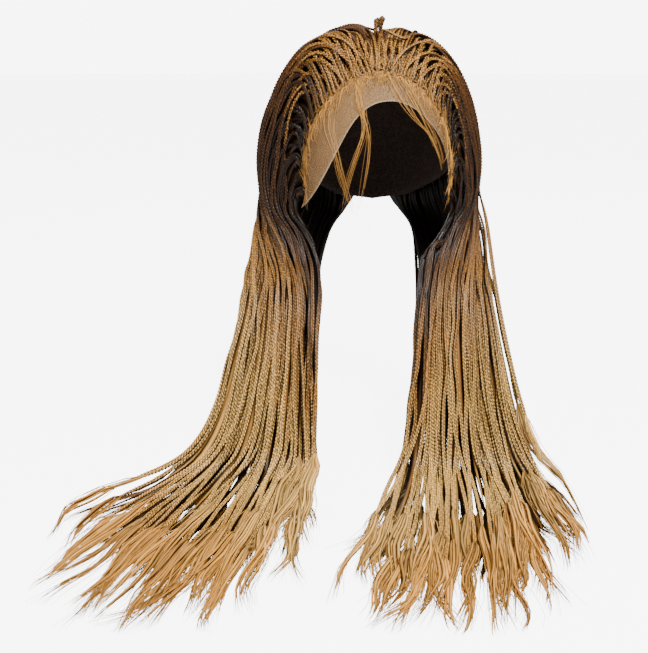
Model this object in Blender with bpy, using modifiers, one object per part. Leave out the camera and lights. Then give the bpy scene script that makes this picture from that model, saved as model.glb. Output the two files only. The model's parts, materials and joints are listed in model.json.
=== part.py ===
"""Long braid wig with a lace front, held in its worn form.

Metres, +Z up, the face side towards -Y. The origin is the top of the inner crown,
where the cap sits on a head. Both bundles of braids are drawn forward over the
shoulders and their loose ends fan out on a table at z = -DROP.
"""
from collections import namedtuple
from math import atan2, ceil, cos, degrees, floor, pi, radians, sin

import bmesh
import bpy
import numpy as np

# Head that the cap fits, and the drop from crown to table
HEAD_WIDTH = 0.152
HEAD_LENGTH = 0.190
HEAD_HEIGHT = 0.230
DROP = 0.415

# Cap and lace
CAP_WALL = 0.0015
LACE_WALL = 0.0010
SEAM_GAP = 0.0004
CLEARANCE = 0.0004

# Hairline: climb in degrees above ear level, turn in degrees from the face
HAIRLINE_TOP = 50.0
HAIRLINE_EAR = -15.0
EAR_TURN = 71.0
ROOT_ENDS = 89.0
LACE_ENDS = 86.0
NAPE_TURN = 190.0
REAR_SETBACK = 2.0

# Bundles: thickness of a layer and its share at the root, stand off the head, and reach
LOCK_THICKNESS = 0.0130
ROOT_THICK = 0.5
STAND_LEFT = 0.034
STAND_RIGHT = 0.020
SPREAD_LEFT = 0.290
SPREAD_RIGHT = 0.190
FRONT_REACH = 0.380
SHEET_GAP = 0.0012
PART_TURN = 4.2
FRONT_LOCKS = 7
REAR_LOCKS = 6

# Single braids
BRAID_DIAMETER = 0.0050
STRAY_ROOT = 72.0
STRAY_LINE = (0.93, 0.56)
STRAY_LIFT = 0.0022
STRAY_STEP = 2.4
LOOP_DIAMETER = 0.0038
LOOP_STEPS = 16
LOOP_HEIGHT = 0.0200
LOOP_WIDTH = 0.0044

# Where a lock lies on the head: turn and climb in degrees, lift as a share of the stand
Spot = namedtuple("Spot", "turn climb lift")
# Where a lock hangs or lies: shares of the spread, the forward reach and the fall
Hang = namedtuple("Hang", "across forward down")
Row = namedtuple("Row", "inner middle outer thick")

# Front layer on the head: inner edge beside the face, outer edge over the ear
FRONT_HEAD = [
    Row(Spot(72, -15, 0.22), Spot(61, 41, 0.40), Spot(26, 66, 0.22), 0.64),
    Row(Spot(73, -17, 0.26), Spot(75, 43, 0.62), Spot(62, 75, 0.28), 0.76),
    Row(Spot(74, -19, 0.28), Spot(85, 31, 0.80), Spot(96, 58, 0.52), 0.88),
    Row(Spot(75, -21, 0.30), Spot(90, 13, 0.94), Spot(107, 34, 0.74), 0.96),
    Row(Spot(75, -23, 0.32), Spot(92, -4, 1.00), Spot(112, 8, 0.92), 1.00),
    Row(Spot(75, -26, 0.34), Spot(92, -20, 1.00), Spot(114, -16, 0.95), 1.00),
]
# Rear layer on the head: inner edge at the nape, outer edge against the front layer
REAR_HEAD = [
    Row(Spot(172, -13, 0.22), Spot(164, 60, 0.20), Spot(26, 66, 0.22), 0.64),
    Row(Spot(168, -17, 0.28), Spot(148, 53, 0.30), Spot(62, 75, 0.28), 0.76),
    Row(Spot(164, -21, 0.32), Spot(139, 40, 0.48), Spot(96, 58, 0.52), 0.88),
    Row(Spot(161, -25, 0.36), Spot(136, 21, 0.70), Spot(107, 34, 0.74), 0.96),
    Row(Spot(158, -29, 0.40), Spot(136, 1, 0.86), Spot(112, 8, 0.92), 1.00),
    Row(Spot(155, -33, 0.44), Spot(138, -20, 0.86), Spot(114, -16, 0.95), 1.00),
]
# From the jaw to the shoulder each layer has its own way, per side
FRONT_NECK_LEFT = [
    Row(Hang(0.218, 0.085, 0.240), Hang(0.365, 0.035, 0.235), Hang(0.415, -0.025, 0.225), 1.0),
    Row(Hang(0.200, 0.115, 0.330), Hang(0.340, 0.110, 0.330), Hang(0.425, 0.070, 0.330), 1.0),
]
REAR_NECK_LEFT = [
    Row(Hang(0.160, -0.175, 0.270), Hang(0.300, -0.150, 0.250), Hang(0.390, -0.085, 0.235), 1.0),
    Row(Hang(0.200, -0.050, 0.372), Hang(0.320, -0.050, 0.362), Hang(0.400, -0.030, 0.335), 1.0),
]
FRONT_NECK_RIGHT = [
    Row(Hang(0.275, 0.085, 0.225), Hang(0.480, 0.035, 0.230), Hang(0.550, -0.020, 0.225), 1.0),
    Row(Hang(0.220, 0.125, 0.315), Hang(0.440, 0.110, 0.325), Hang(0.555, 0.075, 0.330), 1.0),
]
REAR_NECK_RIGHT = [
    Row(Hang(0.230, -0.175, 0.270), Hang(0.420, -0.150, 0.250), Hang(0.525, -0.080, 0.235), 1.0),
    Row(Hang(0.240, -0.045, 0.368), Hang(0.410, -0.045, 0.362), Hang(0.520, -0.025, 0.335), 1.0),
]
# From the shoulder down both layers lie on the two faces of one drape, per side
DRAPE_LEFT = [
    Row(Hang(0.195, 0.165, 0.412), Hang(0.320, 0.180, 0.420), Hang(0.440, 0.155, 0.430), 1.00),
    Row(Hang(0.205, 0.245, 0.565), Hang(0.340, 0.260, 0.585), Hang(0.485, 0.240, 0.590), 1.00),
    Row(Hang(0.207, 0.280, 0.745), Hang(0.362, 0.297, 0.750), Hang(0.535, 0.282, 0.750), 1.00),
    Row(Hang(0.207, 0.310, 0.905), Hang(0.392, 0.335, 0.905), Hang(0.625, 0.318, 0.905), 0.96),
    Row(Hang(0.207, 0.360, 0.985), Hang(0.432, 0.405, 0.985), Hang(0.755, 0.372, 0.985), 0.84),
    Row(Hang(0.212, 0.475, 1.000), Hang(0.498, 0.600, 1.000), Hang(0.875, 0.445, 1.000), 0.66),
    Row(Hang(0.225, 0.610, 1.000), Hang(0.590, 0.820, 1.000), Hang(0.965, 0.520, 1.000), 0.42),
    Row(Hang(0.245, 0.740, 1.000), Hang(0.700, 1.050, 1.000), Hang(1.035, 0.600, 1.000), 0.20),
]
DRAPE_RIGHT = [
    Row(Hang(0.212, 0.165, 0.405), Hang(0.400, 0.180, 0.420), Hang(0.575, 0.155, 0.430), 1.00),
    Row(Hang(0.190, 0.245, 0.565), Hang(0.405, 0.260, 0.585), Hang(0.618, 0.240, 0.585), 1.00),
    Row(Hang(0.155, 0.280, 0.745), Hang(0.420, 0.297, 0.750), Hang(0.680, 0.278, 0.745), 1.00),
    Row(Hang(0.120, 0.312, 0.905), Hang(0.445, 0.335, 0.905), Hang(0.765, 0.305, 0.895), 0.96),
    Row(Hang(0.070, 0.370, 0.985), Hang(0.458, 0.405, 0.985), Hang(0.850, 0.345, 0.985), 0.84),
    Row(Hang(-0.005, 0.540, 1.000), Hang(0.445, 0.620, 1.000), Hang(0.915, 0.430, 1.000), 0.66),
    Row(Hang(-0.100, 0.720, 1.000), Hang(0.395, 0.850, 1.000), Hang(0.955, 0.530, 1.000), 0.42),
    Row(Hang(-0.210, 0.890, 1.000), Hang(0.330, 1.060, 1.000), Hang(0.980, 0.640, 1.000), 0.20),
]
FLAT_ROWS = 4

# Sections of the fused locks, counted in rows from the root; they split after the last
STATIONS = [0, 0.5, 1, 1.7, 2.4, 3.2, 4, 5, 6, 7, 8, 8.6, 9.2, 10, 11, 12, 12.6]
TIP_STEPS = 6
PROBE = 0.02

# Two faces of one lock: place across it, and height as a share of half its thickness
SHOWN_FACE = [(0.0, 0.36), (0.22, 0.84), (0.5, 1.0), (0.78, 0.84), (1.0, 0.36)]
HIDDEN_FACE = [(1.0, 0.40), (0.5, 1.0), (0.0, 0.40)]

# Loose ends, one row per lock from the inner edge: reach along the drape's last rows
# as a share, sway sideways as a share of the lock's width, and width left at the tip
Tip = namedtuple("Tip", "reach sway width")
TIPS = {
    "left_front": [
        Tip(0.74, 0.10, 0.34), Tip(0.98, -0.16, 0.30), Tip(0.90, 0.14, 0.34), Tip(1.00, 0.10, 0.28),
        Tip(0.92, -0.16, 0.32), Tip(1.00, 0.12, 0.28), Tip(0.90, -0.10, 0.32)],
    "left_rear": [
        Tip(0.50, 0.10, 0.36), Tip(0.70, -0.12, 0.34), Tip(0.60, 0.12, 0.36), Tip(0.72, 0.10, 0.32),
        Tip(0.62, -0.12, 0.34), Tip(0.68, 0.10, 0.34)],
    "right_front": [
        Tip(0.88, -0.12, 0.32), Tip(1.00, 0.14, 0.28), Tip(0.90, -0.14, 0.32), Tip(0.98, 0.12, 0.30),
        Tip(0.90, -0.16, 0.32), Tip(1.00, 0.14, 0.30), Tip(0.84, 0.10, 0.34)],
    "right_rear": [
        Tip(0.66, 0.10, 0.36), Tip(0.60, -0.12, 0.34), Tip(0.70, 0.12, 0.34), Tip(0.62, -0.10, 0.36),
        Tip(0.72, 0.12, 0.32), Tip(0.60, -0.10, 0.36)],
}

# Rim of the cap behind the ear: turn and climb in degrees
CAP_RIM = [(84, -6), (96, -4), (116, -12), (150, -24), (180, -27)]
CAP_COLUMNS = 40
CAP_RINGS = 8

# Cut edge of the lace, from the left side of the picture to the right:
# turn and climb in degrees, lift off the skin as a share of the flap
FLAP_LIFT = 0.015
LACE_COLUMNS = 26
LACE_ROWS = 5
LACE_EDGE = [
    (-61, -18, 0.9), (-47, -13, 1.0), (-36, -2, 0.7), (-28, 10, 0.4), (-20, 23, 0.1), (-8, 31, 0.0),
    (8, 33, 0.0), (22, 31, 0.0), (35, 25, 0.0), (47, 17, 0.0), (58, 6, 0.0), (66, -9, 0.0),
]

# Way of the single braid that strays from the right bundle
STRAY_OVER = (1.0, 6.2, 0.4)
STRAY_WAY = [
    Hang(0.572, 0.060, 0.175), Hang(0.580, 0.135, 0.285), Hang(0.600, 0.215, 0.420),
    Hang(0.642, 0.285, 0.570), Hang(0.700, 0.325, 0.720), Hang(0.768, 0.358, 0.825),
    Hang(0.825, 0.380, 0.890),
]

GOLD = (0.62, 0.42, 0.20, 1.0)
HONEY = (0.45, 0.26, 0.10, 1.0)
NET = (0.10, 0.06, 0.035, 1.0)
LACE = (0.85, 0.70, 0.55, 1.0)


def head_point(turn, climb, lift=0.0):
    """Point at a lift above the head, turned from the face and climbed above ear level."""
    a = radians(turn)
    e = radians(climb)
    semi = np.array([HEAD_WIDTH, HEAD_LENGTH, HEAD_HEIGHT]) / 2
    unit = np.array([cos(e) * sin(a), -cos(e) * cos(a), sin(e)])
    out = unit / semi
    out /= np.linalg.norm(out)
    return unit * semi + out * lift + np.array([0, 0, -HEAD_HEIGHT / 2])


def hairline(tau):
    """Turn and climb of the hairline; tau runs from -90 at one ear to 90 at the other."""
    turn = EAR_TURN * sin(radians(tau))
    climb = HAIRLINE_EAR + (HAIRLINE_TOP - HAIRLINE_EAR) * cos(radians(tau))
    return turn, climb


def keep_off_head(point, lift):
    """Push a point out to a lift above the head where it would lie inside that."""
    semi = np.array([HEAD_WIDTH, HEAD_LENGTH, HEAD_HEIGHT]) / 2 + lift
    centre = np.array([0, 0, -HEAD_HEIGHT / 2])
    q = np.linalg.norm((point - centre) / semi)
    return point if q >= 1 else centre + (point - centre) / q


def spline(points, s):
    """Uniform cubic B-spline that starts and ends on its first and last points."""
    pts = np.asarray(points, dtype=float)
    full = np.vstack([2 * pts[0] - pts[1], pts, 2 * pts[-1] - pts[-2]])
    i = min(int(floor(s)), len(pts) - 2)
    u = s - i
    a, b, c, d = full[i:i + 4]
    return ((1 - u) ** 3 * a + (3 * u ** 3 - 6 * u ** 2 + 4) * b
            + (-3 * u ** 3 + 3 * u ** 2 + 3 * u + 1) * c + u ** 3 * d) / 6


def even_points(way, step):
    """Points about a step apart along the smooth curve through a way."""
    fine = np.array([spline(way, s) for s in np.linspace(0, len(way) - 1, 12 * len(way))])
    run = np.concatenate([[0], np.cumsum(np.linalg.norm(np.diff(fine, axis=0), axis=1))])
    marks = np.linspace(0, run[-1], int(ceil(run[-1] / step)) + 1)
    return np.array([np.interp(marks, run, fine[:, k]) for k in range(3)]).T


def across(inner, middle, outer, v):
    """Quadratic through three columns, v from 0 at the inner edge to 1 at the outer."""
    return ((1 - v) * (1 - 2 * v) * inner + 4 * v * (1 - v) * middle
            + v * (2 * v - 1) * outer)


class Drape:
    """One layer of one bundle: where its locks run and how thick they are."""

    def __init__(self, side, layer):
        left = side == "left"
        self.sign = -1 if left else 1
        self.front = layer == "front"
        self.stand = STAND_LEFT if left else STAND_RIGHT
        self.spread = SPREAD_LEFT if left else SPREAD_RIGHT
        self.head = FRONT_HEAD if self.front else REAR_HEAD
        necks = {("left", "front"): FRONT_NECK_LEFT, ("left", "rear"): REAR_NECK_LEFT,
                 ("right", "front"): FRONT_NECK_RIGHT, ("right", "rear"): REAR_NECK_RIGHT}
        self.neck = necks[(side, layer)]
        self.drape = DRAPE_LEFT if left else DRAPE_RIGHT
        self.rows = self.head + self.neck + self.drape
        self.last = len(self.rows)
        self.flat_from = self.last - FLAT_ROWS
        self.thick = [ROOT_THICK] + [row.thick for row in self.rows]

    def root(self, v):
        lift = CAP_WALL + CLEARANCE + self.thick[0] * LOCK_THICKNESS / 2
        if self.front:
            tau = ROOT_ENDS + (PART_TURN - ROOT_ENDS) * v
            turn, climb = hairline(tau)
            return head_point(self.sign * turn, climb, lift)
        arc = NAPE_TURN + (HAIRLINE_TOP + REAR_SETBACK - NAPE_TURN) * v
        turn = PART_TURN if arc < 90 else 180.0 - PART_TURN
        climb = arc if arc < 90 else 180.0 - arc
        point = head_point(self.sign * turn, climb, lift)
        point[0] = self.sign * (HEAD_WIDTH / 2) * sin(radians(PART_TURN))
        return point

    def place(self, spot):
        if isinstance(spot, Spot):
            lift = CAP_WALL + CLEARANCE + spot.lift * self.stand
            return head_point(self.sign * spot.turn, spot.climb, lift)
        fall = DROP - HEAD_HEIGHT / 2
        return np.array([self.sign * spot.across * self.spread,
                         -spot.forward * FRONT_REACH,
                         -HEAD_HEIGHT / 2 - spot.down * fall])

    def control(self, v):
        points = [self.root(v)]
        for row in self.rows:
            inner, middle, outer = (self.place(p) for p in row[:3])
            points.append(across(inner, middle, outer, v))
        for i in range(self.flat_from + 1, self.last + 1):
            points[i][2] = -DROP + self.thick[i] * LOCK_THICKNESS + 2 * CLEARANCE
        return points

    def thickness(self, s):
        i = min(int(floor(s)), self.last - 1)
        u = s - i
        share = self.thick[i] * (1 - u) + self.thick[i + 1] * u
        return share * LOCK_THICKNESS

    def base(self, v, s):
        """Middle of the layer on the head, face of the shared drape further down."""
        half = self.thickness(s) / 2
        return keep_off_head(spline(self.control(v), s), CAP_WALL + CLEARANCE + half)

    def frame(self, v, s):
        """Centre of the layer and its outward normal."""
        here = self.base(v, s)
        s0, s1 = max(s - PROBE, 0), min(s + PROBE, self.last)
        along = self.base(v, s1) - self.base(v, s0)
        v0, v1 = max(v - PROBE, 0), min(v + PROBE, 1)
        side = self.base(v1, s) - self.base(v0, s)
        normal = np.cross(along, side) * self.sign
        normal /= np.linalg.norm(normal)
        shared = len(self.head) + len(self.neck)
        blend = min(max(s - shared, 0), 1)
        off = blend * (self.thickness(s) / 2 + CLEARANCE)
        centre = here + normal * off * (1 if self.front else -1)
        return centre, normal


def lock_section(drape, s, middle, width):
    """Points round one section of a lock: the face that shows on the head, then back."""
    half = drape.thickness(s) / 2
    shown = 1 if drape.front else -1
    points = []
    for face, direction in ((SHOWN_FACE, shown), (HIDDEN_FACE, -shown)):
        for place, height in face:
            centre, normal = drape.frame(middle + (place - 0.5) * width, s)
            points.append(centre + normal * (direction * height * half))
    return points


def make_bundle(name, side, layer, locks, material, collection):
    """Locks fused side by side, split at the table into separate tapered ends."""
    drape = Drape(side, layer)
    ear = len(drape.head) - 1
    edge = 1 - SHEET_GAP / np.linalg.norm(drape.base(1, ear) - drape.base(0, ear))
    bm = bmesh.new()
    split = STATIONS[-1]

    def add(point):
        return bm.verts.new((point[0], point[1], max(point[2], -DROP)))

    outer_count = len(SHOWN_FACE)
    rows = []
    for s in STATIONS:
        row = []
        for lock in range(locks):
            points = lock_section(drape, s, (lock + 0.5) / locks * edge, edge / locks)
            if row:
                previous = row[-1]
                o = [previous[0][-1]] + [add(p) for p in points[1:outer_count]]
                i = [add(p) for p in points[outer_count:-1]] + [previous[1][0]]
            else:
                o = [add(p) for p in points[:outer_count]]
                i = [add(p) for p in points[outer_count:]]
            row.append((o, i))
        rows.append(row)

    def skin(top, low):
        for a, b in zip(range(len(top) - 1), range(1, len(top))):
            bm.faces.new((top[a], top[b], low[b], low[a]))

    for above, below in zip(rows[:-1], rows[1:]):
        for (oa, ia), (ob, ib) in zip(above, below):
            skin(oa, ob)
            skin(ia, ib)
        skin([above[0][1][-1], above[0][0][0]], [below[0][1][-1], below[0][0][0]])
        skin([above[-1][0][-1], above[-1][1][0]], [below[-1][0][-1], below[-1][1][0]])
    for outer, inner in rows[0]:
        bm.faces.new(outer + inner)

    tips = TIPS[f"{side}_{layer}"]
    for lock in range(locks):
        tip = tips[lock % len(tips)]
        outer, inner = rows[-1][lock]
        last = outer + inner
        end = split + (drape.last - split) * tip.reach
        for n in range(1, TIP_STEPS + 1):
            t = n / TIP_STEPS
            s = split + (end - split) * t
            share = 1 + (tip.width - 1) * t
            middle = (lock + 0.5 + tip.sway * sin(pi * t) * (1 - share)) / locks * edge
            now = [add(p) for p in lock_section(drape, s, middle, share / locks * edge)]
            for a in range(len(now)):
                b = (a + 1) % len(now)
                bm.faces.new((last[a], last[b], now[b], now[a]))
            last = now
        bm.faces.new(last[::-1])

    bmesh.ops.triangulate(bm, faces=bm.faces[:])
    bmesh.ops.recalc_face_normals(bm, faces=bm.faces[:])
    return finish(name, bm, material, collection)


def finish(name, bm, material, collection):
    mesh = bpy.data.meshes.new(name)
    bm.to_mesh(mesh)
    bm.free()
    mesh.shade_smooth()
    mesh.materials.append(material)
    obj = bpy.data.objects.new(name, mesh)
    collection.objects.link(obj)
    return obj


def add_solidify(obj, thickness, offset):
    wall = obj.modifiers.new("wall", "SOLIDIFY")
    wall.thickness = thickness
    wall.offset = offset
    wall.use_even_offset = True


def cap_rim(turn):
    """Climb of the cap's rim behind the ears: up over the ear, then down to the nape."""
    turns, climbs = zip((EAR_TURN, HAIRLINE_EAR), *CAP_RIM)
    return float(np.interp(turn, turns, climbs))


def make_cap(material, collection):
    """Inner cap: the upper half of a sphere drawn down to the hairline and the nape."""
    bm = bmesh.new()
    bmesh.ops.create_uvsphere(bm, u_segments=CAP_COLUMNS, v_segments=2 * CAP_RINGS, radius=1.0)
    low = [v for v in bm.verts if v.co.z < -0.01]
    bmesh.ops.delete(bm, geom=low, context="VERTS")
    for v in bm.verts:
        around = degrees(atan2(v.co.x, -v.co.y))
        down = 1 - degrees(atan2(v.co.z, max((v.co.x ** 2 + v.co.y ** 2) ** 0.5, 1e-9))) / 90
        if abs(around) <= 90:
            turn, rim = hairline(around)
        else:
            turn = EAR_TURN + (180 - EAR_TURN) * (abs(around) - 90) / 90
            rim = cap_rim(turn)
            turn = turn if around > 0 else -turn
        v.co = head_point(turn, 90 + (rim - 90) * down)
    obj = finish("cap", bm, material, collection)
    add_solidify(obj, CAP_WALL, 1.0)
    return obj


def make_lace(material, collection):
    """Lace front: a thin sheet from under the hairline to its loose cut edge."""
    bm = bmesh.new()
    bmesh.ops.create_grid(bm, x_segments=LACE_COLUMNS, y_segments=LACE_ROWS, size=1.0)
    edge = np.array(LACE_EDGE, dtype=float)
    for v in bm.verts:
        tau = v.co.x * LACE_ENDS
        down = (1 - v.co.y) / 2
        turn, climb = hairline(tau)
        top = head_point(turn, climb)
        s = (v.co.x + 1) / 2 * (len(edge) - 1)
        cut = spline(edge, s)
        low = head_point(cut[0], cut[1])
        way = low - top
        start = 2 * SEAM_GAP / np.linalg.norm(way)
        point = top + way * (start + (1 - start) * down)
        on_skin = keep_off_head(point, 0.0)
        out = on_skin - np.array([0, 0, -HEAD_HEIGHT / 2])
        out /= np.linalg.norm(out)
        v.co = on_skin + out * cut[2] * FLAP_LIFT * down ** 2
    bmesh.ops.recalc_face_normals(bm, faces=bm.faces[:])
    outward = sum((f.normal.dot(f.calc_center_median()) for f in bm.faces))
    if outward < 0:
        bmesh.ops.reverse_faces(bm, faces=bm.faces[:])
    obj = finish("lace_front", bm, material, collection)
    add_solidify(obj, LACE_WALL, 1.0)
    return obj


def make_tube(name, points, diameter, material, collection):
    """Round braid along a smooth way, a polyline with filled ends."""
    curve = bpy.data.curves.new(name, "CURVE")
    curve.dimensions = "3D"
    curve.bevel_depth = diameter / 2
    curve.bevel_resolution = 2
    curve.use_fill_caps = True
    line = curve.splines.new("POLY")
    line.points.add(len(points) - 1)
    for p, co in zip(line.points, points):
        p.co = (*co, 1.0)
    line.use_smooth = True
    curve.materials.append(material)
    obj = bpy.data.objects.new(name, curve)
    collection.objects.link(obj)
    return obj


def make_stray(material, collection):
    """One braid rooted at the crown that lies over the right bundle and then hangs clear."""
    drape = Drape("right", "front")
    radius = BRAID_DIAMETER / 2
    way = [head_point(0.0, STRAY_ROOT, CAP_WALL + CLEARANCE)]
    way.append(head_point(0.0, STRAY_ROOT, CAP_WALL + LOCK_THICKNESS / 2))
    way.append(head_point(0.0, STRAY_ROOT, CAP_WALL + 1.5 * LOCK_THICKNESS))
    for s in np.arange(*STRAY_OVER):
        v = np.interp(s, STRAY_OVER[:2], STRAY_LINE)
        centre, normal = drape.frame(v, s)
        way.append(centre + normal * (drape.thickness(s) / 2 + CLEARANCE + STRAY_LIFT + radius))
    way += [drape.place(p) for p in STRAY_WAY]
    points = even_points(way, STRAY_STEP * BRAID_DIAMETER)
    return make_tube("stray_braid_right", points, BRAID_DIAMETER, material, collection)


def make_loop(name, along, lean, material, collection):
    """Short braid folded over on top of the crown, both feet on the cap."""
    foot = head_point(0.0, along, CAP_WALL + CLEARANCE)
    points = []
    for n in range(LOOP_STEPS + 1):
        t = n / LOOP_STEPS
        rise = sin(pi * t) ** 0.6
        out = -LOOP_WIDTH / 2 * cos(pi * t)
        points.append(foot + np.array([out + lean * rise ** 3, 0, LOOP_HEIGHT * rise]))
    return make_tube(name, points, LOOP_DIAMETER, material, collection)


def make_material(name, colour, roughness):
    material = bpy.data.materials.new(name)
    material.use_nodes = True
    shader = material.node_tree.nodes["Principled BSDF"]
    shader.inputs["Base Color"].default_value = colour
    shader.inputs["Roughness"].default_value = roughness
    return material


def main():
    for obj in list(bpy.data.objects):
        bpy.data.objects.remove(obj, do_unlink=True)
    collection = bpy.data.collections.new("braid_wig")
    bpy.context.scene.collection.children.link(collection)
    front = make_material("front_hair", GOLD, 0.6)
    rear = make_material("rear_hair", HONEY, 0.6)
    net = make_material("cap_net", NET, 0.9)
    lace = make_material("lace_net", LACE, 0.8)
    make_cap(net, collection)
    make_lace(lace, collection)
    for side in ("left", "right"):
        make_bundle(f"{side}_front_braids", side, "front", FRONT_LOCKS, front, collection)
        make_bundle(f"{side}_rear_braids", side, "rear", REAR_LOCKS, rear, collection)
    make_stray(front, collection)
    make_loop("crown_loop_left", 81.0, -0.0020, front, collection)
    make_loop("crown_loop_right", 89.0, 0.0060, front, collection)


main()
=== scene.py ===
import json
from math import pi, radians, sin

import bmesh
import bpy
import numpy as np
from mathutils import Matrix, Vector

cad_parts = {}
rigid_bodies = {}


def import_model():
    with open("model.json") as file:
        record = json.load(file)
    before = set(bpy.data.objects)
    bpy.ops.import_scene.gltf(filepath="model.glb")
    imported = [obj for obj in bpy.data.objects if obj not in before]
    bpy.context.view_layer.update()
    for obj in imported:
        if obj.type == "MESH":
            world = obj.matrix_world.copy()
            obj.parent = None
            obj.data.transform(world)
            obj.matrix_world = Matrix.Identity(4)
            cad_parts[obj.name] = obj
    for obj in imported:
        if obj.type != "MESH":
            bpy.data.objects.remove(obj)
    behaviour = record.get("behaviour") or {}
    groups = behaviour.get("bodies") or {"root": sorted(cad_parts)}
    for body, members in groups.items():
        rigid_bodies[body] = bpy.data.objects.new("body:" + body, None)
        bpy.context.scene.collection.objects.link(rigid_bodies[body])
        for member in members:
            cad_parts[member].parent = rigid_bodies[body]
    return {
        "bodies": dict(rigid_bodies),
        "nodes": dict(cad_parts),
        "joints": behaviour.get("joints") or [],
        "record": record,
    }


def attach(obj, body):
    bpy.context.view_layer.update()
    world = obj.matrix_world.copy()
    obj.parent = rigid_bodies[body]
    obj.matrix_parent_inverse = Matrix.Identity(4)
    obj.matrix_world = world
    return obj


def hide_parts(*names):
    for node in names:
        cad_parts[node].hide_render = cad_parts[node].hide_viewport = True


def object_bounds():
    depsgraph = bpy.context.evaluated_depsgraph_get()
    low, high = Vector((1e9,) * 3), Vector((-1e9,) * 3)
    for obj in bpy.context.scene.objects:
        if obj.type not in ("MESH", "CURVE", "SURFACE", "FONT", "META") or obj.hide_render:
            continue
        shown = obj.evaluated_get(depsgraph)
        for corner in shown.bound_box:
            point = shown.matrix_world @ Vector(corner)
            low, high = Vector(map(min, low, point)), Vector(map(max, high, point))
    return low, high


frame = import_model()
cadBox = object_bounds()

# Long braid wig with a lace front. Metres, +Z up, the face side towards -Y,
# the origin on top of the inner crown. Every braid is plaited from three plies.

scene = bpy.context.scene

head = {
    "width": 0.152,
    "length": 0.190,
    "height": 0.230,
    "drop": 0.415,  # from the crown down to the table
}
cap = {
    "wall": 0.0015,
    "gap": 0.0004,
    "hairlineTop": 50.0,  # degrees above ear level, in the middle
    "hairlineEar": -15.0,
    "earTurn": 71.0,  # degrees from the face
    "rim": [(84, -6), (96, -4), (116, -12), (150, -24), (180, -27)],  # turn and climb behind the ear
    "columns": 96,
    "rings": 26,
}
bundle = {
    "layer": 0.0130,  # thickness of one layer of braids
    "rootShare": 0.5,
    "stand": {"left": 0.034, "right": 0.020},
    "spread": {"left": 0.290, "right": 0.190},
    "reach": 0.380,
    "partTurn": 4.2,
    "rootEnds": 89.0,
    "napeTurn": 190.0,
    "rearSetback": 2.0,
    "flatRows": 4,
    "probe": 0.02,
}
# On the head: turn, climb and lift of the inner, middle and outer line, and the thickness
headRows = {
    "front": [
        ((72, -15, 0.22), (61, 41, 0.40), (26, 66, 0.22), 0.64),
        ((73, -17, 0.26), (75, 43, 0.62), (62, 75, 0.28), 0.76),
        ((74, -19, 0.28), (85, 31, 0.80), (96, 58, 0.52), 0.88),
        ((75, -21, 0.30), (90, 13, 0.94), (107, 34, 0.74), 0.96),
        ((75, -23, 0.32), (92, -4, 1.00), (112, 8, 0.92), 1.00),
        ((75, -26, 0.34), (92, -20, 1.00), (114, -16, 0.95), 1.00),
    ],
    "rear": [
        ((172, -13, 0.22), (164, 60, 0.20), (26, 66, 0.22), 0.64),
        ((168, -17, 0.28), (148, 53, 0.30), (62, 75, 0.28), 0.76),
        ((164, -21, 0.32), (139, 40, 0.48), (96, 58, 0.52), 0.88),
        ((161, -25, 0.36), (136, 21, 0.70), (107, 34, 0.74), 0.96),
        ((158, -29, 0.40), (136, 1, 0.86), (112, 8, 0.92), 1.00),
        ((155, -33, 0.44), (138, -20, 0.86), (114, -16, 0.95), 1.00),
    ],
}
# Further down: shares of the spread, the forward reach and the fall
neckRows = {
    "left front": [
        ((0.218, 0.085, 0.240), (0.365, 0.035, 0.235), (0.415, -0.025, 0.225), 1.0),
        ((0.200, 0.115, 0.330), (0.340, 0.110, 0.330), (0.425, 0.070, 0.330), 1.0),
    ],
    "left rear": [
        ((0.160, -0.175, 0.270), (0.300, -0.150, 0.250), (0.390, -0.085, 0.235), 1.0),
        ((0.200, -0.050, 0.372), (0.320, -0.050, 0.362), (0.400, -0.030, 0.335), 1.0),
    ],
    "right front": [
        ((0.275, 0.085, 0.225), (0.480, 0.035, 0.230), (0.550, -0.020, 0.225), 1.0),
        ((0.220, 0.125, 0.315), (0.440, 0.110, 0.325), (0.555, 0.075, 0.330), 1.0),
    ],
    "right rear": [
        ((0.230, -0.175, 0.270), (0.420, -0.150, 0.250), (0.525, -0.080, 0.235), 1.0),
        ((0.240, -0.045, 0.368), (0.410, -0.045, 0.362), (0.520, -0.025, 0.335), 1.0),
    ],
}
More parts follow.
